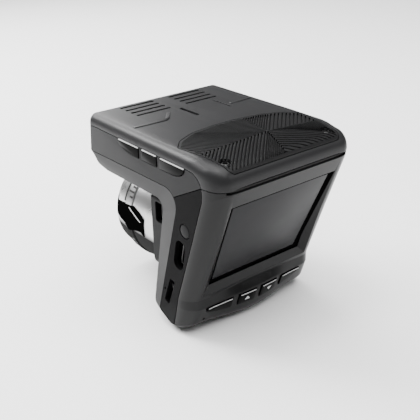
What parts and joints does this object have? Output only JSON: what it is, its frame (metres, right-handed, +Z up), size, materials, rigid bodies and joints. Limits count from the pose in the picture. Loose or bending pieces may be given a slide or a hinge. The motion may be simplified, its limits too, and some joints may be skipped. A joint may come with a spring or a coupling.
{
  "type": "radar detector",
  "caption": "Windscreen radar detector and dash camera: flat radar slab over a leaning display arm, with a lens barrel under the slab.",
  "frame": {"origin": "on the flat top face, on the mid-plane, halfway along the bracket slots", "axes": "+Z up, +Y towards the road (lens side), -Y towards the driver (display side), +X to the driver's right"},
  "size_m": [0.0665, 0.083, 0.0762],
  "materials": {
    "satin_shell": "fine satin texture, charcoal",
    "dark_shell": "fine satin texture, dark grey",
    "gloss_bezel": "semi-gloss black",
    "grille_black": "ribbed satin black",
    "button_black": "semi-gloss black with pale printed symbols",
    "screen_glass": "smoked cover glass, polished",
    "bright_silver": "satin bright plating",
    "optic_glass": "coated dark optic",
    "board_green": "solder-masked circuit board",
    "steel": "pressed or cast bright metal",
    "black_plastic": "moulded black",
    "ceramic": "fired ceramic",
    "screw_black": "blackened steel"
  },
  "bodies": {
    "housing": {"top_cover": "satin_shell", "middle_frame": "satin_shell", "lower_housing": "dark_shell", "arm_panel_left": "dark_shell", "arm_panel_right": "dark_shell", "lens_housing": "dark_shell", "rear_bezel": "gloss_bezel", "speaker_grille": "grille_black", "display_glass": "screen_glass", "lens_rear_barrel": "bright_silver", "lens_scale_ring": "bright_silver", "lens_front_barrel": "bright_silver", "laser_window": "optic_glass", "front_lens": "optic_glass", "rear_lens": "optic_glass", "main_board": "board_green", "display_board": "board_green", "menu_button_board": "board_green", "side_button_board": "board_green", "image_sensor_board": "board_green", "mini_hdmi_socket": "steel", "card_socket": "steel", "mini_usb_socket": "steel", "reset_switch": "steel", "power_switch": "steel", "mute_switch": "steel", "marker_switch": "steel", "dim_switch": "steel", "menu_switch": "steel", "up_switch": "steel", "down_switch": "steel", "ok_switch": "steel", "radar_horn": "steel", "radar_module": "steel", "processor_shield": "steel", "microphone": "steel", "lcd_panel": "black_plastic", "lens_core_tube": "black_plastic", "lens_hood_ring": "black_plastic", "lens_tube": "black_plastic", "laser_receiver": "black_plastic", "speaker": "black_plastic", "supercapacitor": "black_plastic", "gps_antenna": "ceramic", "case_screw_1": "screw_black", "case_screw_2": "screw_black", "case_screw_3": "screw_black", "case_screw_4": "screw_black", "grille_screw_left": "screw_black", "grille_screw_right": "screw_black"},
    "mute_button": {"mute_button": "button_black"},
    "marker_button": {"marker_button": "button_black"},
    "dim_button": {"dim_button": "button_black"},
    "power_button": {"power_button": "dark_shell"},
    "menu_button": {"menu_button": "button_black"},
    "up_button": {"up_button": "button_black"},
    "down_button": {"down_button": "button_black"},
    "ok_button": {"ok_button": "button_black"}
  },
  "joints": [
    {"name": "mute_button_press", "type": "slide", "parent": "housing", "child": "mute_button", "axis": [1, 0, 0], "range_m": [0, 0.0004], "stiffness_N_per_m": 1500},
    {"name": "marker_button_press", "type": "slide", "parent": "housing", "child": "marker_button", "axis": [1, 0, 0], "range_m": [0, 0.0004], "stiffness_N_per_m": 1500},
    {"name": "dim_button_press", "type": "slide", "parent": "housing", "child": "dim_button", "axis": [1, 0, 0], "range_m": [0, 0.0004], "stiffness_N_per_m": 1500},
    {"name": "power_button_press", "type": "slide", "parent": "housing", "child": "power_button", "axis": [1, 0, 0], "range_m": [0, 0.0004], "stiffness_N_per_m": 1500},
    {"name": "menu_button_press", "type": "slide", "parent": "housing", "child": "menu_button", "axis": [0, 0.9781, 0.2079], "range_m": [0, 0.0004], "stiffness_N_per_m": 1500},
    {"name": "up_button_press", "type": "slide", "parent": "housing", "child": "up_button", "axis": [0, 0.9781, 0.2079], "range_m": [0, 0.0004], "stiffness_N_per_m": 1500},
    {"name": "down_button_press", "type": "slide", "parent": "housing", "child": "down_button", "axis": [0, 0.9781, 0.2079], "range_m": [0, 0.0004], "stiffness_N_per_m": 1500},
    {"name": "ok_button_press", "type": "slide", "parent": "housing", "child": "ok_button", "axis": [0, 0.9781, 0.2079], "range_m": [0, 0.0004], "stiffness_N_per_m": 1500}
  ]
}
